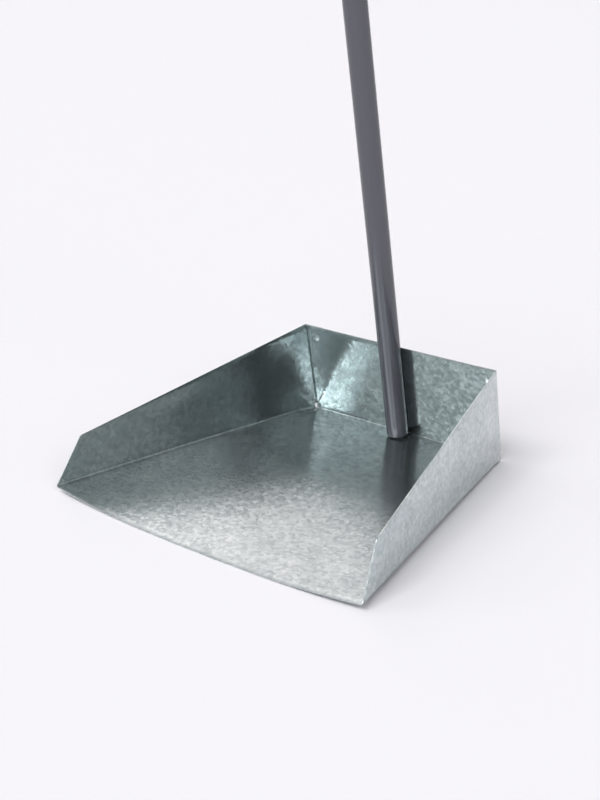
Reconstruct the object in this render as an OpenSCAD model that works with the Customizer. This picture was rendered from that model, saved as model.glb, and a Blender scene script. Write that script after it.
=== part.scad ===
// Lobby dustpan: a folded galvanised sheet pan with a fixed upright tube for a handle.
// Millimetres. X runs to the right, Y to the back and Z up. The lip faces -Y.
// The origin is on the ground, under the middle of the pan.

/* [Pan] */
// Width across the two front corners
lip_w = 302; // [240:1:360]
// Width across the two back corners
back_w = 197; // [150:1:230]
// Depth from the back fold to the front corners
pan_d = 275; // [200:1:340]
// How far the middle of the lip stands forward of the front corners
lip_bow = 6; // [0:0.5:20]
// How far the front corners stand clear of the ground
lip_lift = 5; // [0.5:0.5:12]
// Width of the middle of the lip that lies flat on the ground
lip_flat = 75; // [30:1:150]
// Height of the back wall
back_h = 86; // [65:1:130]
// Lean of the back wall and the handle towards the lip, in degrees
back_lean = 11.3; // [6:0.1:18]
// Height of the front corner of each side wall
nose_h = 43.5; // [25:0.5:60]
// How far that corner stands back from the front corner of the floor
nose_rake = 23.5; // [10:0.5:50]
// Rounding of that corner
nose_r = 2; // [0.5:0.5:8]
// Thickness of the sheet
sheet_t = 0.8; // [0.5:0.1:1.5]
// Inside radius of every fold
fold_r = 1; // [0.6:0.1:2]

/* [Corner tabs] */
// Width of the tab on each side wall that folds round behind the back wall
tab_w = 20; // [16:1:40]
// Height of the lower end of the tabs above the ground
tab_foot = 10; // [8:1:30]
// Gap between the tabs and the back wall
tab_gap = 0.1; // [0.05:0.05:0.3]
// Open seam between the back wall and each side wall
seam_gap = 1.4; // [1:0.1:3]

/* [Corner rivets] */
// Shank diameter
corner_rivet_d = 4; // [3:0.1:5]
// Head diameter
corner_head_d = 6.5; // [5:0.1:9]
// Head height
corner_head_h = 0.4; // [0.3:0.1:2]
// Distance of the rivet below the top edge
corner_rivet_down = 11; // [7:0.5:20]

/* [Handle tube] */
// Outside diameter
tube_d = 19; // [16:0.5:25]
// Wall thickness
tube_wall = 1.2; // [0.8:0.1:2]
// Length
tube_l = 840; // [500:5:1000]
// Gap between the lower end of the tube and the pan's floor
tube_foot = 1.5; // [1:0.5:10]
// Gap between the tube and the back wall
tube_gap = 0.05; // [0.02:0.01:0.2]
// Diameter of the hole that the dustpan hangs by
hang_hole_d = 8; // [5:0.5:10]
// Distance of that hole below the top of the tube
hang_hole_down = 30; // [25:1:80]

/* [Handle rivets] */
// Diameter of the rivet's barrel
barrel_d = 4.8; // [4:0.1:5.5]
// Diameter of the flange behind the back wall
flange_d = 11; // [8:0.5:14]
// Height of the flange
flange_h = 1.5; // [1:0.1:2.5]
// Distance of the lower rivet above the back fold
rivet_up = 22; // [15:1:30]
// Distance of the upper rivet below the top edge
rivet_down = 22; // [10:1:28]
// Diameter of the bulb that the barrel forms inside the tube
bulb_d = 6.6; // [6:0.1:8]
// Length of the bulb
bulb_l = 2.4; // [1.5:0.1:4]
// Diameter of the mandrel's stem
mandrel_d = 2.8; // [2:0.1:3]
// Diameter of the mandrel's head
mandrel_head_d = 4.2; // [3.6:0.1:4.6]
// Height of the mandrel's head
mandrel_head_h = 1.4; // [1:0.1:2.5]
// Depth of the snapped stem below the top of the flange
snap_depth = 0.4; // [0.2:0.1:0.8]

/* [End cap] */
// Height of the cap's rim
cap_rim = 1; // [0.5:0.1:3]
// Height of the dome above the rim
cap_dome = 2.5; // [1:0.1:6]
// Length of the plug inside the tube
plug_l = 12; // [6:1:20]
// Wall thickness of the plug
plug_wall = 1.6; // [1:0.1:3]

/* [Clearances] */
// Clearance round each rivet and mandrel
rivet_gap = 0.05; // [0.02:0.01:0.1]
// Clearance round the plug in the tube
plug_gap = 0.1; // [0.05:0.05:0.3]

/* [Hidden] */
$fn = 64;

galvanised = [0.66, 0.69, 0.69];
grey_steel = [0.36, 0.36, 0.40];
zinc = [0.75, 0.76, 0.77];
black_plastic = [0.08, 0.08, 0.08];

floor_steps = 32;  // strips across the floor
fold_steps = 8;    // flats round each fold
past = 20;         // how far a cutting shape reaches past what it cuts

// Where neighbouring faces of the sheet meet, one laps a little way inside the other
lap = 2 * sheet_t;
lap_inset = sheet_t / 8;
lap_step = sheet_t / 4;

// The back fold turns about a line across the pan
fold_ro = fold_r + sheet_t;
back_y = (pan_d + lip_bow) / 2;
lip_y = back_y - pan_d;
hinge_y = back_y - fold_ro;
hinge_z = fold_ro;
floor_back_y = hinge_y - lap_step / 2;
back_l = (back_h - hinge_z - fold_ro * sin(back_lean)) / cos(back_lean);

// The side walls splay out towards the lip, and rise with the floor's front corners
splay = (lip_w - back_w) / 2 / pan_d;
rise = lip_lift / (floor_back_y - lip_y);
side_lean = atan(splay * sin(back_lean) / (cos(back_lean) - rise * sin(back_lean)));
side_turn = atan(splay / (cos(back_lean) - rise * sin(back_lean)));
flat_share = lip_flat / lip_w;

// Half the pan's width at a distance y
function half_w(y) = back_w / 2 + splay * (back_y - y);

// Across the leaning back wall: x of a side wall's outer and inner face, n behind the hinge
function wall_out(n) = half_w(hinge_y) - n * tan(side_turn);
function wall_in(n) = wall_out(n) - sheet_t / cos(side_turn);

back_half_w = wall_in(fold_r) - seam_gap;
tab_n = fold_ro + tab_gap;
tab_fold_n = tab_n - fold_r;
tab_fold_x = wall_in(tab_fold_n) - fold_r / cos(side_turn);
tab_end_x = wall_out(tab_n) - tab_w;

corner_rivet_x = (tab_end_x + tab_fold_x) / 2;
corner_rivet_b = back_l - corner_rivet_down;

tube_r = tube_d / 2;
bore_r = tube_r - tube_wall;
tube_n = fold_r - tube_gap - tube_r;
tube_b = (sheet_t + tube_foot - hinge_z - (tube_n - tube_r) * sin(back_lean)) / cos(back_lean);
rivet_bs = [rivet_up, back_l - rivet_down];
bulb_n = tube_n + sqrt(pow(bore_r, 2) - pow(bulb_d / 2, 2)) - rivet_gap;

function reverse(list) = [for (i = [len(list) - 1 : -1 : 0]) list[i]];
function arc(centre, r, from, to) =
    [for (i = [0 : fold_steps]) let (a = from + (to - from) * i / fold_steps) centre + r * [cos(a), sin(a)]];

// How far the floor has risen at u, from -1 at one side of the pan to 1 at the other, as a share
function sag(u) = pow(max(0, abs(u) - flat_share) / (1 - flat_share), 2);
function sag_slope(u) = sign(u) * max(0, abs(u) - flat_share) / (1 - flat_share);

// One cross-section of the floor and its two side folds. Its points run from left to right,
// on the sheet's lower face at face = 0 and on its upper face at face = 1.
function floor_angle(y, lift) = atan(2 * lift / (1 - flat_share) / (half_w(y) - fold_ro));
function side_fold(y, lift, face) =
    let (a = floor_angle(y, lift), r = fold_ro - face * sheet_t, inset = (face == 0 ? 1 : -1) * lap_inset,
         centre = [half_w(y) - fold_ro, lift + fold_ro * cos(a)],
         end = centre + r * [cos(side_lean), sin(side_lean)],
         inner = end - inset * [cos(side_lean), sin(side_lean)],
         up = [-sin(side_lean), cos(side_lean)])
    concat([for (p = arc(centre, r, a - 90, side_lean)) [p.x, y, p.y]],
           [for (s = [lap_step, lap]) let (p = inner + s * up) [p.x, y, p.y]]);
function floor_section(y, lift, bow, face) =
    let (a = floor_angle(y, lift), edge = half_w(y) - fold_ro + fold_ro * sin(a),
         right = side_fold(y, lift, face))
    concat(
        [for (p = reverse(right)) [-p.x, p.y, p.z]],
        [for (i = [1 : floor_steps - 1])
            let (u = 2 * i / floor_steps - 1, turn = a * sag_slope(u), h = face * sheet_t)
            [u * edge - h * sin(turn), y - bow * (1 - u * u), lift * sag(u) + h * cos(turn)]],
        right);

// The floor: ruled straight from the back fold to the lip
module pan_floor() {
    back_low = floor_section(floor_back_y, 0, 0, 0);
    back_top = floor_section(floor_back_y, 0, 0, 1);
    lip_low = floor_section(lip_y, lip_lift, lip_bow, 0);
    lip_top = floor_section(lip_y, lip_lift, lip_bow, 1);
    n = len(back_low);
    // A square across the loop of four rows, as two triangles
    function square_at(p, q, i, j) = [[p + i, p + j, q + j], [p + i, q + j, q + i]];
    function strips(p, q) = [for (i = [0 : n - 2]) each square_at(p, q, i, i + 1)];
    ends = [[0, n, 3 * n], [0, 3 * n, 2 * n], [n - 1, 3 * n - 1, 4 * n - 1], [n - 1, 4 * n - 1, 2 * n - 1]];
    polyhedron(concat(back_low, back_top, lip_low, lip_top),
               concat(strips(2 * n, 0), strips(n, 3 * n), strips(0, n), strips(3 * n, 2 * n), ends));
}

// A shape drawn in the side view, [y, z], drawn out across the pan
module across(w) rotate([90, 0, 90]) linear_extrude(w, center = true) children();

// The frame of the leaning back wall: X, then n behind the hinge line, then b up the wall
module leaning() translate([0, hinge_y, hinge_z]) rotate([back_lean, 0, 0]) children();

// One side wall with its tab, before it is cut to its outline. It runs straight along b.
module side_wall() {
    front_n = -pan_d - past;
    face_ends = [[wall_out(front_n), front_n], [wall_in(front_n), front_n]];
    leaning() translate([0, 0, -past]) linear_extrude(back_h + pan_d * sin(back_lean) + 2 * past)
        polygon(concat([face_ends[0]],
                       arc([tab_fold_x, tab_fold_n], fold_ro, side_turn, 90),
                       [[tab_end_x, tab_n + sheet_t], [tab_end_x, tab_n]],
                       reverse(arc([tab_fold_x, tab_fold_n], fold_r, side_turn, 90)),
                       [face_ends[1]]));
}

// All above the side folds
module above_side_folds() {
    back_z = hinge_z + fold_ro * sin(side_lean) + lap_step / 2;
    lip_z = back_z + lip_lift - fold_ro * (1 - cos(floor_angle(lip_y, lip_lift)));
    slope = (lip_z - back_z) / (floor_back_y - lip_y);
    far_z = back_z - slope * (back_y + past - floor_back_y);
    across(lip_w + 2 * past) polygon([
        [lip_y - past, lip_z + slope * past], [back_y + past, far_z],
        [back_y + past, 2 * back_h], [lip_y - past, 2 * back_h]]);
}

// The pan in side view: floor, side walls and tabs
module side_outline() {
    top = [hinge_y + fold_r * cos(back_lean) - back_l * sin(back_lean), back_h];
    nose = [lip_y + nose_rake, nose_h];
    toe = [lip_y, lip_lift + 1.5 * sheet_t];
    top_a = atan2(top.y - nose.y, top.x - nose.x);
    rake_a = atan2(nose.y - toe.y, nose.x - toe.x);
    // The nose's arc touches the top edge and the raked edge
    half = (180 - rake_a + top_a) / 2;
    to_centre = top_a - half;
    centre = nose + nose_r / sin(half) * [cos(to_centre), sin(to_centre)];
    across(lip_w + 2 * past) polygon(concat(
        [[lip_y - lip_bow - past, -past], [hinge_y, -past], [hinge_y, tab_foot], [back_y + past, tab_foot],
         [back_y + past, back_h], top],
        arc(centre, nose_r, top_a + 90, rake_a + 90),
        [toe, [lip_y - lip_bow - past, toe.y]]));
}

// The back wall and its fold, with the lap that joins it to the floor
module back_wall() {
    function face(r, inset) = concat(
        [[-lap, inset - r], [-lap_step, inset - r]],
        arc([0, 0], r, -90, back_lean),
        [r * [cos(back_lean), sin(back_lean)] + back_l * [-sin(back_lean), cos(back_lean)]]);
    translate([0, hinge_y, hinge_z]) across(2 * back_half_w)
        polygon(concat(face(fold_ro, lap_inset), reverse(face(fold_r, -lap_inset))));
}

// A place on the back wall, with Z along the wall's outward normal
module on_back(x, n, b) leaning() translate([x, n, b]) rotate([-90, 0, 0]) children();

// A low round head that stands on the plane z = 0
module dome(d, h) {
    r = (pow(d / 2, 2) + pow(h, 2)) / (2 * h);
    rotate_extrude() intersection() {
        translate([0, h - r]) circle(r);
        square([d, h]);
    }
}

module pan_sheet() color(galvanised) difference() {
    union() {
        intersection() {
            union() {
                pan_floor();
                intersection() {
                    for (side = [0, 1]) mirror([side, 0, 0]) side_wall();
                    above_side_folds();
                }
            }
            side_outline();
        }
        back_wall();
    }
    for (side = [-1, 1]) on_back(side * corner_rivet_x, -past, corner_rivet_b)
        cylinder(h = 2 * past, d = corner_rivet_d + 2 * rivet_gap);
    for (b = rivet_bs) on_back(0, -past, b) cylinder(h = 2 * past, d = barrel_d + 2 * rivet_gap);
}

// A solid rivet through the back wall and a tab, with a head on each side
module corner_rivet(side) color(zinc) on_back(side * corner_rivet_x, fold_r, corner_rivet_b) {
    grip = tab_n + sheet_t - fold_r;
    cylinder(h = grip, d = corner_rivet_d);
    translate([0, 0, grip]) dome(corner_head_d, corner_head_h);
    mirror([0, 0, 1]) dome(corner_head_d, corner_head_h);
}

module handle_tube() color(grey_steel) difference() {
    leaning() translate([0, tube_n, tube_b]) difference() {
        cylinder(h = tube_l, r = tube_r);
        translate([0, 0, -1]) cylinder(h = tube_l + 2, r = bore_r);
    }
    for (b = rivet_bs) on_back(0, tube_n, b) cylinder(h = tube_d, d = barrel_d + 2 * rivet_gap);
    on_back(0, tube_n - tube_d, tube_b + tube_l - hang_hole_down) cylinder(h = 2 * tube_d, d = hang_hole_d);
}

// A blind rivet from behind: flange, barrel, and the bulb that holds the tube from inside
module handle_rivet(b) color(zinc) on_back(0, 0, b) difference() {
    bulb_end = bulb_n - bulb_l;
    barrel_start = bulb_n - bulb_l / 2;
    union() {
        translate([0, 0, fold_ro]) dome(flange_d, flange_h);
        translate([0, 0, barrel_start]) cylinder(h = fold_ro + flange_h / 2 - barrel_start, d = barrel_d);
        translate([0, 0, bulb_end]) cylinder(h = bulb_l, d1 = barrel_d, d2 = bulb_d);
    }
    translate([0, 0, bulb_end - 1])
        cylinder(h = fold_ro + flange_h - bulb_end + 2, d = mandrel_d + 2 * rivet_gap);
}

// What stays of the mandrel: its head at the end of the bulb and its snapped stem
module rivet_mandrel(b) color(grey_steel) on_back(0, 0, b) {
    head_n = bulb_n - bulb_l;
    translate([0, 0, head_n]) cylinder(h = fold_ro + flange_h - snap_depth - head_n, d = mandrel_d);
    translate([0, 0, head_n]) mirror([0, 0, 1]) dome(mandrel_head_d, mandrel_head_h);
}

// A push-in cap that closes the top of the tube
module end_cap() color(black_plastic) leaning() translate([0, tube_n, tube_b + tube_l]) {
    translate([0, 0, cap_rim]) dome(tube_d, cap_dome);
    cylinder(h = cap_rim, d = tube_d);
    plug_r = bore_r - plug_gap;
    translate([0, 0, -plug_l]) difference() {
        cylinder(h = plug_l, r = plug_r);
        translate([0, 0, -1]) cylinder(h = plug_l, r = plug_r - plug_wall);
    }
}

pan_sheet();
corner_rivet(-1);  // corner_rivet_left
corner_rivet(1);  // corner_rivet_right
handle_tube();
handle_rivet(rivet_bs[0]);  // handle_rivet_lower
handle_rivet(rivet_bs[1]);  // handle_rivet_upper
rivet_mandrel(rivet_bs[0]);  // rivet_mandrel_lower
rivet_mandrel(rivet_bs[1]);  // rivet_mandrel_upper
end_cap();
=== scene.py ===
import math
import bmesh
import bpy
from mathutils import Matrix, Vector


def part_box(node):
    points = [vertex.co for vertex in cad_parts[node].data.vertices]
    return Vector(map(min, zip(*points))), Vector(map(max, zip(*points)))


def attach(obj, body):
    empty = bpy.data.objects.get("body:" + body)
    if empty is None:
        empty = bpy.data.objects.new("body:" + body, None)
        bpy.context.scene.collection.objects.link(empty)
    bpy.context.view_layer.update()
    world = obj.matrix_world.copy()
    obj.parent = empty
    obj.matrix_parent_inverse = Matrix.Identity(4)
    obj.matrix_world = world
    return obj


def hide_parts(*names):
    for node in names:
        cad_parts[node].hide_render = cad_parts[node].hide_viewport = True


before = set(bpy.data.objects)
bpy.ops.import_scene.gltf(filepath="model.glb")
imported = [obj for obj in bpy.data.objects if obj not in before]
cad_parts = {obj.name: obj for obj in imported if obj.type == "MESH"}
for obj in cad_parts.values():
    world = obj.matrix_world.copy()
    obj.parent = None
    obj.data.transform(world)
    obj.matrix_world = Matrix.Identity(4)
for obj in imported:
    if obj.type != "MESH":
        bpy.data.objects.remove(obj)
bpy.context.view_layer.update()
mm = 0.001
sameSpot = 0.1 * mm  # places closer than this count as one
mostly = 0.9  # an edge runs along an axis when this share of its length does
leaning = 0.7  # the same for edges that stand up along a leaning wall
print("frame loaded,", len(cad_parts), "nodes")


def linear(hexColour):  # sRGB hex to the linear colour that the sockets take
    parts = [int(hexColour[i:i + 2], 16) / 255 for i in (1, 3, 5)]
    return [p / 12.92 if p <= 0.04045 else ((p + 0.055) / 1.055) ** 2.4 for p in parts] + [1]


def towards(azimuth, elevation):  # a way out from the pan: azimuth 0 is before the lip, 90 to its right
    a, e = math.radians(azimuth), math.radians(elevation)
    return Vector((math.sin(a) * math.cos(e), -math.cos(a) * math.cos(e), math.sin(e)))


def addNode(tree, kind, inputs=(), **settings):  # one node with its settings and links
    node = tree.nodes.new("ShaderNode" + kind)
    for name, value in settings.items():
        setattr(node, name, value)
    for socket, value in dict(inputs).items():
        if isinstance(value, bpy.types.NodeSocket):
            tree.links.new(value, node.inputs[socket])
        else:
            node.inputs[socket].default_value = value
    return node


def newMaterial(name):  # a material with its shader and the piece's own coordinates
    material = bpy.data.materials.new(name)
    material.use_nodes = True
    tree = material.node_tree
    shader = tree.nodes["Principled BSDF"]
    place = addNode(tree, "TexCoord").outputs["Object"]
    return material, tree, shader, place


# Edit-mode helpers
def activate(piece):  # leaves edit mode, with only this piece selected
    bpy.ops.object.mode_set(mode="OBJECT")
    bpy.ops.object.select_all(action="DESELECT")
    piece.select_set(True)
    bpy.context.view_layer.objects.active = piece


def startEdit(piece):
    activate(piece)
    bpy.ops.object.mode_set(mode="EDIT")


def pick(piece, kind, test):  # selects the verts, edges or faces that pass a test
    bpy.ops.mesh.select_mode(type=kind[:-1].upper())
    bpy.ops.mesh.select_all(action="DESELECT")
    mesh = bmesh.from_edit_mesh(piece.data)
    for item in getattr(mesh, kind):
        if test(item):
            item.select_set(True)
    mesh.select_flush_mode()
    bmesh.update_edit_mesh(piece.data)


def middle(edge):
    return (edge.verts[0].co + edge.verts[1].co) / 2


def runs(edge, axis):  # how far an edge runs along an axis, as a share of its length
    step = edge.verts[1].co - edge.verts[0].co
    return abs(step[axis]) / step.length


def drawOut(x, y, z):
    bpy.ops.mesh.extrude_edges_move(TRANSFORM_OT_translate={"value": (x, y, z)})


def widen(share):  # scales across the pan, about its middle plane
    bpy.ops.transform.resize(value=(share, 1, 1), center_override=(0, 0, 0))


def applyModifier(piece, kind, **settings):
    activate(piece)
    modifier = piece.modifiers.new(kind.title(), kind)
    for name, value in settings.items():
        setattr(modifier, name, value)
    bpy.ops.object.modifier_apply(modifier=modifier.name)


def roundEdges(piece, width, segments, overAngle):  # bevels the edges that turn more than an angle
    applyModifier(piece, "BEVEL", width=width, segments=segments, limit_method="ANGLE",
                  angle_limit=math.radians(overAngle))


def copyOf(piece, name):  # a second piece with its own mesh
    second = piece.copy()
    second.data = piece.data.copy()
    second.name = second.data.name = name
    bpy.context.scene.collection.objects.link(second)
    return second


def finishPiece(piece, material, node, smoothAngle=35):
    activate(piece)
    bpy.ops.object.transform_apply(location=True, rotation=True, scale=True)
    bpy.ops.object.shade_smooth_by_angle(angle=math.radians(smoothAngle))
    piece.data.materials.clear()
    piece.data.materials.append(material)
    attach(piece, "root")
    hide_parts(node)
    print("made", piece.name, len(piece.data.polygons), "faces")


# Camera, at the photograph's viewing angle
shot = {"azimuth": 38.133, "elevation": 21.532, "distance": 1.24575, "lens": 59.245,
        "target": Vector((-0.12206, 0.14540, 0)), "clipEnd": 200}


def makeCamera():
    back = towards(shot["azimuth"], shot["elevation"])
    data = bpy.data.cameras.new("photoCamera")
    data.lens = shot["lens"]
    data.clip_end = shot["clipEnd"]
    camera = bpy.data.objects.new("photoCamera", data)
    bpy.context.scene.collection.objects.link(camera)
    camera.location = shot["target"] + shot["distance"] * back
    camera.rotation_euler = (-back).to_track_quat("-Z", "Y").to_euler()
    bpy.context.scene.camera = camera


makeCamera()
print("camera placed")

# Galvanised sheet steel, hot dipped: zinc freezes in small grains, each a little tilted,
# so that blurred reflections break up into bright and dull flecks. Sizes and places in mm.
galvanised = {
    "dark": "#a2acae", "pale": "#d6dddd", "darkFrom": 0.7, "paleFrom": 2.3, "metallic": 0.97,
    "grainSize": 2.6, "speckSize": 0.9, "speckDetail": 3.0, "cloudSize": 28, "cloudDetail": 4.0,
    "grainWarp": 2, "grainTilt": 0.035, "speckTilt": 0.05,
    "roughness": 0.17, "roughnessSpread": 0.04,
    "wear": 0.09, "wearFrom": 60, "wearTo": -30, "wearHigh": 10, "wearLow": 5,
}


def galvanisedSteel():
    g = galvanised
    material, tree, shader, place = newMaterial("galvanisedSheetSteel")
    speck = addNode(tree, "TexNoise", {"Vector": place, "Scale": 1 / (g["speckSize"] * mm),
                                       "Detail": g["speckDetail"]})
    cloud = addNode(tree, "TexNoise", {"Vector": place, "Scale": 1 / (g["cloudSize"] * mm),
                                       "Detail": g["cloudDetail"]})
    half = (0.5, 0.5, 0.5)  # noise and cell colours lie about this
    centred = addNode(tree, "VectorMath", {0: speck.outputs["Color"], 1: half}, operation="SUBTRACT")
    shift = addNode(tree, "VectorMath", {0: centred.outputs[0],
                                         "Scale": g["grainWarp"] * g["grainSize"] * mm}, operation="SCALE")
    warped = addNode(tree, "VectorMath", {0: place, 1: shift.outputs[0]}, operation="ADD")
    grain = addNode(tree, "TexVoronoi", {"Vector": warped.outputs[0], "Scale": 1 / (g["grainSize"] * mm)})

    # Colour and gloss: grain, specks and clouds together
    grainTone = addNode(tree, "SeparateColor", {0: grain.outputs["Color"]})
    fine = addNode(tree, "Math", {0: grainTone.outputs[0], 1: speck.outputs["Fac"]}, operation="ADD")
    full = addNode(tree, "Math", {0: fine.outputs[0], 1: cloud.outputs["Fac"]}, operation="ADD")
    tone = addNode(tree, "MapRange", {"Value": full.outputs[0], "From Min": g["darkFrom"],
                                      "From Max": g["paleFrom"]})
    colour = addNode(tree, "Mix", {0: tone.outputs[0], 6: linear(g["dark"]), 7: linear(g["pale"])},
                     data_type="RGBA")
    rough = addNode(tree, "MapRange", {"Value": tone.outputs[0],
                                       "To Min": g["roughness"] + g["roughnessSpread"],
                                       "To Max": g["roughness"] - g["roughnessSpread"]})

    # The front of the floor is duller from sweeping
    where = addNode(tree, "SeparateXYZ", {0: place})
    front = addNode(tree, "MapRange", {"Value": where.outputs[1], "From Min": g["wearFrom"] * mm,
                                       "From Max": g["wearTo"] * mm}, interpolation_type="SMOOTHSTEP")
    low = addNode(tree, "MapRange", {"Value": where.outputs[2], "From Min": g["wearHigh"] * mm,
                                     "From Max": g["wearLow"] * mm, "To Max": g["wear"]})
    worn = addNode(tree, "Math", {0: front.outputs[0], 1: low.outputs[0], 2: rough.outputs[0]},
                   operation="MULTIPLY_ADD")

    # Each grain leans its own way
    ownLean = addNode(tree, "VectorMath", {0: grain.outputs["Color"], 1: half}, operation="SUBTRACT")
    grainLean = addNode(tree, "VectorMath", {0: ownLean.outputs[0], "Scale": g["grainTilt"]},
                        operation="SCALE")
    speckLean = addNode(tree, "VectorMath", {0: centred.outputs[0], "Scale": g["speckTilt"]},
                        operation="SCALE")
    both = addNode(tree, "VectorMath", {0: grainLean.outputs[0], 1: speckLean.outputs[0]}, operation="ADD")
    face = addNode(tree, "NewGeometry").outputs["Normal"]
    tilted = addNode(tree, "VectorMath", {0: face, 1: both.outputs[0]}, operation="ADD")
    normal = addNode(tree, "VectorMath", {0: tilted.outputs[0]}, operation="NORMALIZE")
    tree.links.new(colour.outputs[2], shader.inputs["Base Color"])
    tree.links.new(worn.outputs[0], shader.inputs["Roughness"])
    tree.links.new(normal.outputs[0], shader.inputs["Normal"])
    shader.inputs["Metallic"].default_value = g["metallic"]
    return material


# Drawn steel tube under a thin dark grey lacquer: a satin sheen, with faint lines along the tube
tubeSteel = {"dark": "#5a5a61", "pale": "#606067", "lineWidth": 0.8, "lineLength": 80, "lineDetail": 3.0,
             "roughness": 0.24, "roughnessSpread": 0.04, "metallic": 0.35, "tilt": 11.3}


def lacqueredSteel():
    t = tubeSteel
    material, tree, shader, place = newMaterial("greyLacqueredSteel")
    across, along = 1 / (t["lineWidth"] * mm), 1 / (t["lineLength"] * mm)
    upright = addNode(tree, "VectorRotate", {"Vector": place, "Axis": (1, 0, 0),
                                             "Angle": -math.radians(t["tilt"])})
    stretch = addNode(tree, "VectorMath", {0: upright.outputs[0], 1: (across, across, along)},
                      operation="MULTIPLY")
    lines = addNode(tree, "TexNoise", {"Vector": stretch.outputs[0], "Scale": 1.0, "Detail": t["lineDetail"]})
    colour = addNode(tree, "Mix", {0: lines.outputs["Fac"], 6: linear(t["dark"]), 7: linear(t["pale"])},
                     data_type="RGBA")
    rough = addNode(tree, "MapRange", {"Value": lines.outputs["Fac"],
                                       "To Min": t["roughness"] - t["roughnessSpread"],
                                       "To Max": t["roughness"] + t["roughnessSpread"]})
    tree.links.new(colour.outputs[2], shader.inputs["Base Color"])
    tree.links.new(rough.outputs[0], shader.inputs["Roughness"])
    shader.inputs["Metallic"].default_value = t["metallic"]
    return material


# Zinc-plated rivet steel: pale, slightly blue, with tool scuffs
rivetZinc = {"dark": "#bcc4c5", "pale": "#d4dada", "scuffSize": 0.8, "scuffDetail": 4.0, "scuffDepth": 0.05,
             "scuffStrength": 0.2, "roughness": 0.3, "roughnessSpread": 0.1, "metallic": 1}


def zincPlate():
    z = rivetZinc
    material, tree, shader, place = newMaterial("zincPlatedRivet")
    scuff = addNode(tree, "TexNoise", {"Vector": place, "Scale": 1 / (z["scuffSize"] * mm),
                                       "Detail": z["scuffDetail"]})
    colour = addNode(tree, "Mix", {0: scuff.outputs["Fac"], 6: linear(z["dark"]), 7: linear(z["pale"])},
                     data_type="RGBA")
    rough = addNode(tree, "MapRange", {"Value": scuff.outputs["Fac"],
                                       "To Min": z["roughness"] - z["roughnessSpread"],
                                       "To Max": z["roughness"] + z["roughnessSpread"]})
    bump = addNode(tree, "Bump", {"Height": scuff.outputs["Fac"], "Strength": z["scuffStrength"],
                                  "Distance": z["scuffDepth"] * mm})
    tree.links.new(colour.outputs[2], shader.inputs["Base Color"])
    tree.links.new(rough.outputs[0], shader.inputs["Roughness"])
    tree.links.new(bump.outputs[0], shader.inputs["Normal"])
    shader.inputs["Metallic"].default_value = z["metallic"]
    return material


# Polyethylene cap, injection moulded: near black with a fine satin grain
capPlastic = {"dark": "#17181a", "pale": "#232427", "grainSize": 0.35, "grainDetail": 2.0, "grainDepth": 0.05,
              "grainStrength": 0.25, "roughness": 0.42}


def mouldedPlastic():
    c = capPlastic
    material, tree, shader, place = newMaterial("mouldedPolyethylene")
    grain = addNode(tree, "TexNoise", {"Vector": place, "Scale": 1 / (c["grainSize"] * mm),
                                       "Detail": c["grainDetail"]})
    colour = addNode(tree, "Mix", {0: grain.outputs["Fac"], 6: linear(c["dark"]), 7: linear(c["pale"])},
                     data_type="RGBA")
    bump = addNode(tree, "Bump", {"Height": grain.outputs["Fac"], "Strength": c["grainStrength"],
                                  "Distance": c["grainDepth"] * mm})
    tree.links.new(colour.outputs[2], shader.inputs["Base Color"])
    tree.links.new(bump.outputs[0], shader.inputs["Normal"])
    shader.inputs["Roughness"].default_value = c["roughness"]
    return material


galvanisedMaterial = galvanisedSteel()
tubeMaterial = lacqueredSteel()
zincMaterial = zincPlate()
capMaterial = mouldedPlastic()
print("materials made")

# Pan: one sheet, folded up at the back and the sides. The mesh starts as its outer face.
sheet = {
    "thickness": 0.8 * mm, "foldRadius": 1.0 * mm, "lean": math.radians(11.3),
    "backWidth": 197 * mm, "lipWidth": 302 * mm, "depth": 275 * mm,
    "lipBow": 6 * mm, "lipLift": 5 * mm, "liftPower": 0.55, "lipFlat": 75 * mm,
    "noseHeight": 43.5 * mm, "noseRake": 23.5 * mm, "noseRound": 1.6 * mm,
    "seamGap": 0.6 * mm, "tabGap": 0.1 * mm, "tabWidth": 20 * mm, "tabRound": 2 * mm,
    "columns": 48, "rows": 44, "wallRows": 17, "tabFirstRow": 2, "foldSegments": 6, "cornerSegments": 4,
    "dish": 1.5 * mm, "dishWidth": 70 * mm, "dishStart": 0.08,
    "bulge": 2.0 * mm, "bulgePeak": 0.66, "bulgeStart": 0.15,
    "waveHeight": 0.16 * mm, "waveLength": 55 * mm, "edgeRound": 0.12 * mm, "heelInset": 0.1 * mm,
}
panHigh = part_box("pan_sheet")[1]
foldOuter = sheet["foldRadius"] + sheet["thickness"]
lean = sheet["lean"]
hinge = Vector((0, panHigh.y - foldOuter, foldOuter))  # the line that the back fold turns about
upWall = Vector((0, -math.sin(lean), math.cos(lean)))
outOfWall = Vector((0, math.cos(lean), math.sin(lean)))
lipY = panHigh.y - sheet["depth"]
splay = (sheet["lipWidth"] - sheet["backWidth"]) / 2 / sheet["depth"]
rise = sheet["lipLift"] / (hinge.y - lipY)
sideTurn = math.atan(splay / (math.cos(lean) - rise * math.sin(lean)))


def outFrom(y, z):  # how far a place lies behind the hinge, square to the back wall
    return (Vector((0, y, z)) - hinge).dot(outOfWall)


def sideX(n):  # the outer face of the right-hand side wall, at that distance
    return sheet["backWidth"] / 2 + splay * foldOuter - n * math.tan(sideTurn)


def ease(share):  # smooth step from 0 to 1
    t = min(1, max(0, share))
    return t * t * (3 - 2 * t)


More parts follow.
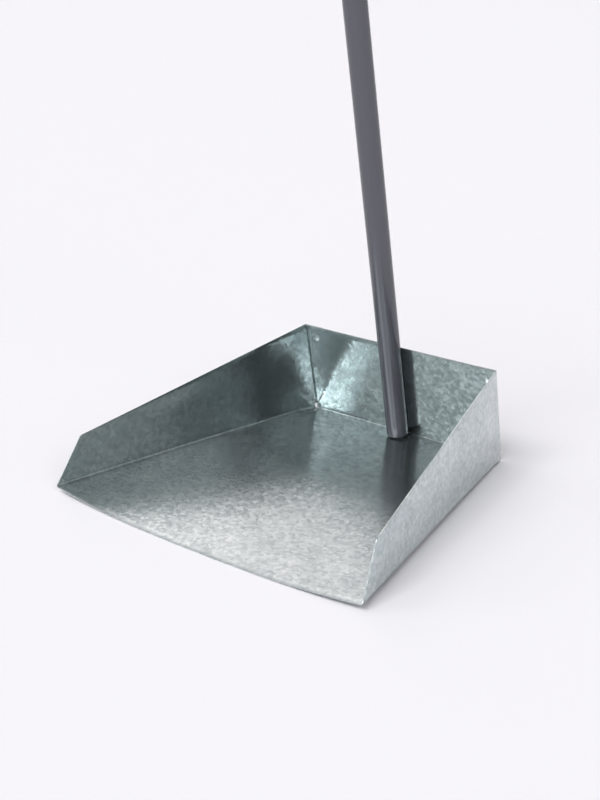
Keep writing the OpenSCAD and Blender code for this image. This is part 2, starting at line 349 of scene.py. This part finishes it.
def makePan():
    s = sheet
    heelY = hinge.y - s["heelInset"]  # where the floor ends and the back fold starts
    backY = hinge.y + foldOuter * math.cos(lean) + foldOuter * (1 + math.sin(lean)) * math.tan(lean)
    topZ = panHigh.z
    toeX, heelX = sideX(outFrom(lipY, s["lipLift"])), sideX(outFrom(heelY, 0))
    noseY = lipY + s["noseRake"]
    topY = heelY - topZ * math.tan(lean)
    backHalf = sideX(s["foldRadius"]) - s["thickness"] / math.cos(sideTurn) - s["seamGap"]

    bpy.ops.object.select_all(action="DESELECT")
    bpy.ops.mesh.primitive_plane_add(size=2)
    pan = bpy.context.object
    pan.name = pan.data.name = "panSheet"
    startEdit(pan)
    bpy.ops.mesh.select_all(action="SELECT")
    bpy.ops.transform.resize(value=(toeX, (heelY - lipY) / 2, 1), center_override=(0, 0, 0))
    bpy.ops.transform.translate(value=(0, (heelY + lipY) / 2, 0))
    pick(pan, "verts", lambda v: v.co.y > 0)
    widen(heelX / toeX)
    pick(pan, "verts", lambda v: v.co.y < 0)
    bpy.ops.transform.translate(value=(0, 0, s["lipLift"]))

    # Side walls
    pick(pan, "edges", lambda e: runs(e, 1) > mostly)
    drawOut(0, 0, topZ)
    pick(pan, "verts", lambda v: v.co.z > topZ - mm and v.co.y < 0)
    bpy.ops.transform.translate(value=(0, s["noseRake"], s["noseHeight"] - topZ - s["lipLift"]))
    widen(sideX(outFrom(noseY, s["noseHeight"])) / toeX)
    pick(pan, "verts", lambda v: v.co.z > topZ - mm and v.co.y > heelY - mm)
    bpy.ops.transform.translate(value=(0, topY - heelY, 0))
    widen(sideX(outFrom(topY, topZ)) / heelX)
    for axis, share, cuts in ((1, mostly, s["rows"]), (0, mostly, s["columns"]), (2, leaning, s["wallRows"])):
        pick(pan, "edges", lambda e: runs(e, axis) > share)
        bpy.ops.mesh.subdivide(number_cuts=cuts - 1)

    # The lip bows forward and its middle sinks to the ground, the floor rises to the folds, the sides bulge
    flatShare = s["lipFlat"] / s["lipWidth"]
    peak = s["bulgePeak"]
    mesh = bmesh.from_edit_mesh(pan.data)
    for v in mesh.verts:
        forward = (heelY - v.co.y) / (heelY - lipY)
        half = heelX + (toeX - heelX) * forward
        across = v.co.x / half
        if abs(v.co.z - s["lipLift"] * forward) < sameSpot:  # on the floor
            nearFold = max(0, 1 - (half - abs(v.co.x)) / s["dishWidth"])
            sag = (max(0, abs(across) - flatShare) / (1 - flatShare)) ** 2
            v.co.z = s["lipLift"] * max(0, forward) ** s["liftPower"] * sag
            v.co.z += s["dish"] * nearFold ** 2 * ease(forward / s["dishStart"]) * (1 - forward)
            v.co.y -= s["lipBow"] * forward * (1 - across ** 2)
        else:
            wallTop = s["noseHeight"] + (topZ - s["noseHeight"]) * (v.co.y - noseY) / (topY - noseY)
            rakeTop = s["lipLift"] + (s["noseHeight"] - s["lipLift"]) * (v.co.y - lipY) / s["noseRake"]
            wallTop = min(wallTop, rakeTop)
            high = min(1, v.co.z / wallTop)
            fromBack = (heelY - v.co.z * math.tan(lean) - v.co.y) / (heelY - lipY)
            fromPeak = (high - peak) / (peak if high < peak else 1 - peak)
            bulge = s["bulge"] * wallTop / topZ * (1 - fromPeak ** 2) * ease(fromBack / s["bulgeStart"])
            v.co.x += math.copysign(bulge, v.co.x)
    bmesh.update_edit_mesh(pan.data)

    def foldOver(turn, test):  # rounds the folds that pass a test, which turn by that angle
        sharp = math.radians(45)
        pick(pan, "edges", lambda e: len(e.link_faces) == 2 and e.calc_face_angle() > sharp and test(e))
        bpy.ops.mesh.bevel(offset=foldOuter * math.tan(turn / 2), offset_type="OFFSET",
                           segments=s["foldSegments"], profile=0.5, affect="EDGES")

    foldOver(math.radians(90), lambda e: runs(e, 1) > mostly)

    # Back wall, on a strip that is mitred at the corners
    straight, flat = 0.99, 0.01 * mm  # the heel's edges run right across and lie on the ground
    pick(pan, "edges", lambda e: e.is_boundary and runs(e, 0) > straight
         and middle(e).y > heelY - mm and middle(e).z < flat)
    stripHalf = max(abs(v.co.x) for v in bmesh.from_edit_mesh(pan.data).verts if v.select)
    drawOut(0, backY - heelY, 0)
    widen(backHalf / stripHalf)
    drawOut(0, -topZ * math.tan(lean), topZ)
    pick(pan, "edges", lambda e: runs(e, 2) > leaning and abs(middle(e).x) < backHalf + sameSpot)
    bpy.ops.mesh.subdivide(number_cuts=s["wallRows"] - 1)
    foldOver(math.radians(90) + lean, lambda e: runs(e, 0) > mostly)

    # Tabs round the back of the back wall
    heelN, tabN = outFrom(heelY, 0), foldOuter + s["tabGap"] + s["thickness"]
    tabFoot = (s["tabFirstRow"] - 0.5) * topZ / s["wallRows"]
    pick(pan, "edges", lambda e: e.is_boundary and runs(e, 2) > leaning and middle(e).z > tabFoot
         and abs(outFrom(middle(e).y, middle(e).z) - heelN) < sameSpot and abs(middle(e).x) > backHalf + mm)
    drawOut(0, (tabN - heelN) / math.cos(lean), 0)
    widen(sideX(tabN) / sideX(heelN))
    drawOut(0, 0, 0)
    tabEndX = sideX(tabN) - s["tabWidth"]
    widen(tabEndX / sideX(tabN))
    foldOver(math.radians(90) - sideTurn, lambda e: runs(e, 2) > mostly)

    # Rounded corners at the noses and the tabs
    pick(pan, "verts", lambda v: v.is_boundary and abs(v.co.z - s["noseHeight"]) < sameSpot
         and abs(v.co.y - noseY) < sameSpot)
    bpy.ops.mesh.bevel(offset=s["noseRound"], segments=s["cornerSegments"], affect="VERTICES")
    pick(pan, "verts", lambda v: len(v.link_edges) == 2 and abs(abs(v.co.x) - tabEndX) < sameSpot)
    bpy.ops.mesh.bevel(offset=s["tabRound"], segments=s["cornerSegments"], affect="VERTICES")

    # Slight waves of thin sheet, its thickness and its dulled edges
    waves = bpy.data.textures.new("sheetWaves", "CLOUDS")
    waves.noise_scale = s["waveLength"]
    applyModifier(pan, "DISPLACE", texture=waves, strength=s["waveHeight"], mid_level=0.5)
    applyModifier(pan, "SOLIDIFY", thickness=s["thickness"], offset=1, use_even_offset=True)
    roundEdges(pan, s["edgeRound"], segments=2, overAngle=50)
    finishPiece(pan, galvanisedMaterial, "pan_sheet")


makePan()


# Round pieces, turned from a profile of (radius, height) points, then set on the leaning wall
def turned(name, profile, steps, closed=False):
    bpy.ops.object.mode_set(mode="OBJECT")
    bpy.ops.object.select_all(action="DESELECT")
    bpy.ops.mesh.primitive_plane_add(size=1 * mm)
    piece = bpy.context.object
    piece.name = piece.data.name = name
    startEdit(piece)
    bpy.ops.mesh.select_mode(type="VERT")
    bpy.ops.mesh.select_all(action="SELECT")
    bpy.ops.mesh.merge(type="CENTER")
    points = [Vector((r, 0, h)) for r, h in profile]
    if closed:
        points.append(points[0])
    bpy.ops.transform.translate(value=points[0])
    for a, b in zip(points, points[1:]):
        bpy.ops.mesh.extrude_vertices_move(TRANSFORM_OT_translate={"value": b - a})
    bpy.ops.mesh.select_all(action="SELECT")
    bpy.ops.mesh.spin(steps=steps, angle=math.tau, center=(0, 0, 0), axis=(0, 0, 1))
    bpy.ops.mesh.select_all(action="SELECT")
    bpy.ops.mesh.remove_doubles(threshold=0.001 * mm)
    bpy.ops.mesh.normals_make_consistent(inside=False)
    bpy.ops.object.mode_set(mode="OBJECT")
    return piece


def onWall(x, n, b):  # a place by its distances across, out of and up the back wall
    return hinge + Vector((x, 0, 0)) + n * outOfWall + b * upWall


def domeArc(width, height, steps, inner=0):  # points of a low round head, from its edge up to radius inner
    ball = (width ** 2 / 4 + height ** 2) / (2 * height)
    widest = math.asin(width / 2 / ball)
    least = math.asin(inner / ball)
    turns = [widest + (least - widest) * i / steps for i in range(steps + 1)]
    return [(ball * math.sin(a), height - ball + ball * math.cos(a)) for a in turns]


# Handle tube
tube = {"width": 19 * mm, "wall": 1.2 * mm, "length": 840 * mm, "gap": 0.05 * mm, "foot": 1.5 * mm,
        "endRound": 0.12 * mm, "sides": 128, "hangHole": 8 * mm, "hangDown": 30 * mm,
        "rivetHole": 4.9 * mm, "holeSides": 64, "ringStep": 7 * mm}
rivet = {"up": 22 * mm, "down": 22 * mm}  # from the wall's foot and from its top
tubeN = sheet["foldRadius"] - tube["gap"] - tube["width"] / 2
tubeB = ((sheet["thickness"] + tube["foot"] - hinge.z - (tubeN - tube["width"] / 2) * math.sin(lean))
         / math.cos(lean))
wallLength = (panHigh.z - hinge.z - foldOuter * math.sin(lean)) / math.cos(lean)
rivetPlaces = {"lower": rivet["up"], "upper": wallLength - rivet["down"]}


def drill(piece, width, place, depth):  # a round hole through a piece, along the wall's normal
    bpy.ops.object.select_all(action="DESELECT")
    bpy.ops.mesh.primitive_cylinder_add(vertices=tube["holeSides"], radius=width / 2, depth=depth,
                                        location=place, rotation=(lean - math.pi / 2, 0, 0))
    bit = bpy.context.object
    applyModifier(piece, "BOOLEAN", object=bit, operation="DIFFERENCE", solver="EXACT")
    bpy.data.objects.remove(bit)


def makeTube():
    t = tube
    outer, inner = t["width"] / 2, t["width"] / 2 - t["wall"]
    holes = [b - tubeB for b in rivetPlaces.values()] + [t["length"] - t["hangDown"]]
    rings = sorted(h + side * t["ringStep"] for h in holes for side in (-1, 1))  # keep shading near the holes
    profile = ([(inner, h) for h in reversed(rings)] + [(inner, 0), (outer, 0)]
               + [(outer, h) for h in rings] + [(outer, t["length"]), (inner, t["length"])])
    piece = turned("handleTube", profile, t["sides"], closed=True)
    roundEdges(piece, t["endRound"], segments=2, overAngle=50)
    piece.rotation_euler = (lean, 0, 0)
    piece.location = onWall(0, tubeN, tubeB)
    activate(piece)
    bpy.ops.object.transform_apply(location=True, rotation=True)
    for b in rivetPlaces.values():
        drill(piece, t["rivetHole"], onWall(0, tubeN + outer, b), t["width"])
    drill(piece, t["hangHole"], onWall(0, tubeN, tubeB + t["length"] - t["hangDown"]), 2 * t["width"])
    finishPiece(piece, tubeMaterial, "handle_tube")


makeTube()

# End cap
cap = {"rim": 1 * mm, "dome": 2.5 * mm, "plug": 12 * mm, "plugWall": 1.6 * mm, "plugGap": 0.1 * mm,
       "rimRound": 0.35 * mm, "domeSteps": 12, "sides": 96}


def makeCap():
    c = cap
    outer = tube["width"] / 2
    plugOuter = outer - tube["wall"] - c["plugGap"]
    plugInner = plugOuter - c["plugWall"]
    dome = [(r, h + c["rim"]) for r, h in domeArc(tube["width"], c["dome"], c["domeSteps"])]
    profile = [(0, 0), (plugInner, 0), (plugInner, -c["plug"]), (plugOuter, -c["plug"]), (plugOuter, 0),
               (outer, 0)]
    piece = turned("endCap", profile + dome, c["sides"])
    roundEdges(piece, c["rimRound"], segments=3, overAngle=50)
    piece.rotation_euler = (lean, 0, 0)
    piece.location = onWall(0, tubeN, tubeB + tube["length"])
    finishPiece(piece, capMaterial, "end_cap")


makeCap()

# Corner rivets, one modelled and copied
cornerRivet = {"shank": 4 * mm, "head": 6.5 * mm, "headHeight": 0.4 * mm, "down": 11 * mm,
               "edgeRound": 0.2 * mm, "domeSteps": 8, "sides": 48}


def makeCornerRivets():
    c = cornerRivet
    tabN = foldOuter + sheet["tabGap"]
    grip = tabN + sheet["thickness"] - sheet["foldRadius"]
    foldN = tabN - sheet["foldRadius"]
    foldX = sideX(foldN) - (sheet["thickness"] + sheet["foldRadius"]) / math.cos(sideTurn)
    x = (sideX(tabN) - sheet["tabWidth"] + foldX) / 2  # the middle of the tab's flat part
    head = domeArc(c["head"], c["headHeight"], c["domeSteps"])
    shank = c["shank"] / 2
    profile = ([(r, -h) for r, h in reversed(head)] + [(shank, 0), (shank, grip)]
               + [(r, grip + h) for r, h in head])
    first = turned("cornerRivetLeft", profile, c["sides"])
    roundEdges(first, c["edgeRound"], segments=2, overAngle=60)
    second = copyOf(first, "cornerRivetRight")
    for piece, side, node in ((first, -1, "corner_rivet_left"), (second, 1, "corner_rivet_right")):
        piece.rotation_euler = (lean - math.pi / 2, 0, 0)
        piece.location = onWall(side * x, sheet["foldRadius"], wallLength - c["down"])
        finishPiece(piece, zincMaterial, node)


makeCornerRivets()

# Blind rivets behind the back wall, and the snapped mandrels in them
blind = {"barrel": 4.8 * mm, "flange": 11 * mm, "flangeHeight": 1.5 * mm, "bulb": 6.6 * mm,
         "bulbLength": 2.4 * mm, "bore": 2.9 * mm, "gap": 0.05 * mm, "edgeRound": 0.2 * mm,
         "domeSteps": 8, "sides": 64}
mandrel = {"stem": 2.8 * mm, "head": 4.2 * mm, "headHeight": 1.4 * mm, "snapDepth": 0.4 * mm,
           "snapNeck": 0.5 * mm, "neckStep": 0.3, "neckWide": 0.8, "neckThin": 0.3,
           "domeSteps": 6, "sides": 32}


def makeBlindRivets():
    b, m = blind, mandrel
    bore, barrel, bulb, stem = b["bore"] / 2, b["barrel"] / 2, b["bulb"] / 2, m["stem"] / 2
    boreInTube = tube["width"] / 2 - tube["wall"]
    bulbN = tubeN + math.sqrt(boreInTube ** 2 - bulb ** 2) - b["gap"]
    endN = bulbN - b["bulbLength"]
    flange = [(r, foldOuter + h) for r, h in domeArc(b["flange"], b["flangeHeight"], b["domeSteps"], bore)]
    rivetProfile = [(bore, endN), (barrel, endN), (bulb, bulbN), (barrel, bulbN), (barrel, foldOuter)]
    snapN = foldOuter + b["flangeHeight"] - m["snapDepth"]
    headArc = [(r, endN - h) for r, h in reversed(domeArc(m["head"], m["headHeight"], m["domeSteps"]))]
    mandrelProfile = headArc + [(stem, endN), (stem, snapN - m["snapNeck"]),
                                (m["neckWide"] * stem, snapN - m["neckStep"] * m["snapNeck"]),
                                (m["neckThin"] * stem, snapN), (0, snapN)]
    firstRivet = turned("handleRivetLower", rivetProfile + flange, b["sides"], closed=True)
    roundEdges(firstRivet, b["edgeRound"], segments=2, overAngle=60)
    firstMandrel = turned("rivetMandrelLower", mandrelProfile, m["sides"])
    secondRivet = copyOf(firstRivet, "handleRivetUpper")
    secondMandrel = copyOf(firstMandrel, "rivetMandrelUpper")
    for piece, place, node, material, slotName in (
            (firstRivet, "lower", "handle_rivet_lower", zincMaterial, "rivet_zinc"),
            (firstMandrel, "lower", "rivet_mandrel_lower", tubeMaterial, "handle_steel"),
            (secondRivet, "upper", "handle_rivet_upper", zincMaterial, "rivet_zinc"),
            (secondMandrel, "upper", "rivet_mandrel_upper", tubeMaterial, "handle_steel")):
        piece.rotation_euler = (lean - math.pi / 2, 0, 0)
        piece.location = onWall(0, 0, rivetPlaces[place])
        finishPiece(piece, material, node)


makeBlindRivets()

# Pale floor and soft studio light: bright cards and one softbox round a dim room, angles in degrees
studio = {"floorSize": 60, "floorColour": "#f5f2f6", "floorRoughness": 0.9, "floorSpecular": 0.1,
          "floorDrop": 0.2 * mm, "roomColour": "#223239", "cardColour": "#ffffff"}
softbox = {"azimuth": 6, "elevation": 54.4, "roll": 13, "halfWidth": 22, "halfHeight": 9, "softEdge": 1.5,
           "level": 7.0}
cards = [
    {"name": "topLamp", "azimuth": -20, "elevation": 80, "halfAngle": 12, "level": 0.9},
    {"name": "lowLamp", "azimuth": -18, "elevation": 41, "halfAngle": 7.5, "level": 6.5},
    {"name": "leftLamp", "azimuth": -42, "elevation": 40, "halfAngle": 9, "level": 0.35},
    {"name": "leftLow", "azimuth": -57, "elevation": 19, "halfAngle": 12, "level": 2.0},
    {"name": "leftFront", "azimuth": -34, "elevation": 6, "halfAngle": 14, "level": 0.45},
    {"name": "frontFill", "azimuth": 5, "elevation": 15, "halfAngle": 11, "level": 1.4},
    {"name": "frontLow", "azimuth": 8, "elevation": 4, "halfAngle": 18, "level": 0.8},
    {"name": "rightFront", "azimuth": 56, "elevation": 11, "halfAngle": 14, "level": 0.5},
    {"name": "rightLamp", "azimuth": 72, "elevation": 36, "halfAngle": 10, "level": 4.4},
    {"name": "rightLow", "azimuth": 115, "elevation": 20, "halfAngle": 18, "level": 0.6},
    {"name": "backdrop", "azimuth": -130, "elevation": 28, "halfAngle": 13, "level": 2.0,
     "colour": "#fff7f6"},
    {"name": "backTop", "azimuth": 180, "elevation": 58, "halfAngle": 18, "level": 0.5},
    {"name": "leftTop", "azimuth": -80, "elevation": 52, "halfAngle": 7, "level": 5.0},
]


def softboxGlow(tree, look):  # a flat rectangular light with slightly soft edges
    b = softbox
    ahead = towards(b["azimuth"], b["elevation"])
    turn = Matrix.Rotation(-math.radians(b["roll"]), 3, ahead)
    sideways = turn @ towards(b["azimuth"] + 90, 0)
    upwards = turn @ towards(b["azimuth"], b["elevation"] + 90)
    depth = addNode(tree, "VectorMath", {0: look, 1: ahead}, operation="DOT_PRODUCT").outputs["Value"]
    glow = addNode(tree, "Math", {0: depth, 1: 0.0}, operation="GREATER_THAN").outputs[0]
    for way, half in ((sideways, b["halfWidth"]), (upwards, b["halfHeight"])):
        off = addNode(tree, "VectorMath", {0: look, 1: way}, operation="DOT_PRODUCT").outputs["Value"]
        slope = addNode(tree, "Math", {0: off, 1: depth}, operation="DIVIDE").outputs[0]
        size = addNode(tree, "Math", {0: slope}, operation="ABSOLUTE").outputs[0]
        edge = addNode(tree, "MapRange", {"Value": size,
                                          "From Min": math.tan(math.radians(half + b["softEdge"])),
                                          "From Max": math.tan(math.radians(half - b["softEdge"]))},
                       interpolation_type="SMOOTHSTEP").outputs[0]
        glow = addNode(tree, "Math", {0: glow, 1: edge}, operation="MULTIPLY").outputs[0]
    return addNode(tree, "Math", {0: glow, 1: b["level"]}, operation="MULTIPLY").outputs[0]


def makeStudio():
    s = studio
    bpy.ops.object.select_all(action="DESELECT")
    bpy.ops.mesh.primitive_plane_add(size=s["floorSize"], location=(0, 0, -s["floorDrop"]))
    floor = bpy.context.object
    floor.name = floor.data.name = "studioFloor"
    material, _, shader, _ = newMaterial("paintedFloor")
    shader.inputs["Base Color"].default_value = linear(s["floorColour"])
    shader.inputs["Roughness"].default_value = s["floorRoughness"]
    shader.inputs["Specular IOR Level"].default_value = s["floorSpecular"]
    floor.data.materials.append(material)

    world = bpy.data.worlds.new("studioWorld")
    bpy.context.scene.world = world
    world.use_nodes = True
    tree = world.node_tree
    look = addNode(tree, "TexCoord").outputs["Generated"]
    light = linear(s["roomColour"])[:3]
    for card in cards:
        fall = math.log(2) / (1 - math.cos(math.radians(card["halfAngle"])))  # half as bright at that angle
        way = towards(card["azimuth"], card["elevation"])
        near = addNode(tree, "VectorMath", {0: look, 1: way}, operation="DOT_PRODUCT")
        away = addNode(tree, "Math", {0: near.outputs["Value"], 1: fall, 2: -fall}, operation="MULTIPLY_ADD")
        shape = addNode(tree, "Math", {0: away.outputs[0]}, operation="EXPONENT")
        glow = addNode(tree, "Math", {0: shape.outputs[0], 1: card["level"]}, operation="MULTIPLY")
        colour = linear(card.get("colour", s["cardColour"]))[:3]
        light = addNode(tree, "VectorMath", {0: glow.outputs[0], 1: colour, 2: light},
                        operation="MULTIPLY_ADD").outputs[0]
    light = addNode(tree, "VectorMath", {0: light, 1: softboxGlow(tree, look)}, operation="ADD").outputs[0]
    tree.links.new(light, tree.nodes["Background"].inputs["Color"])


makeStudio()
bpy.context.scene.view_settings.view_transform = "Standard"
print("studio set")
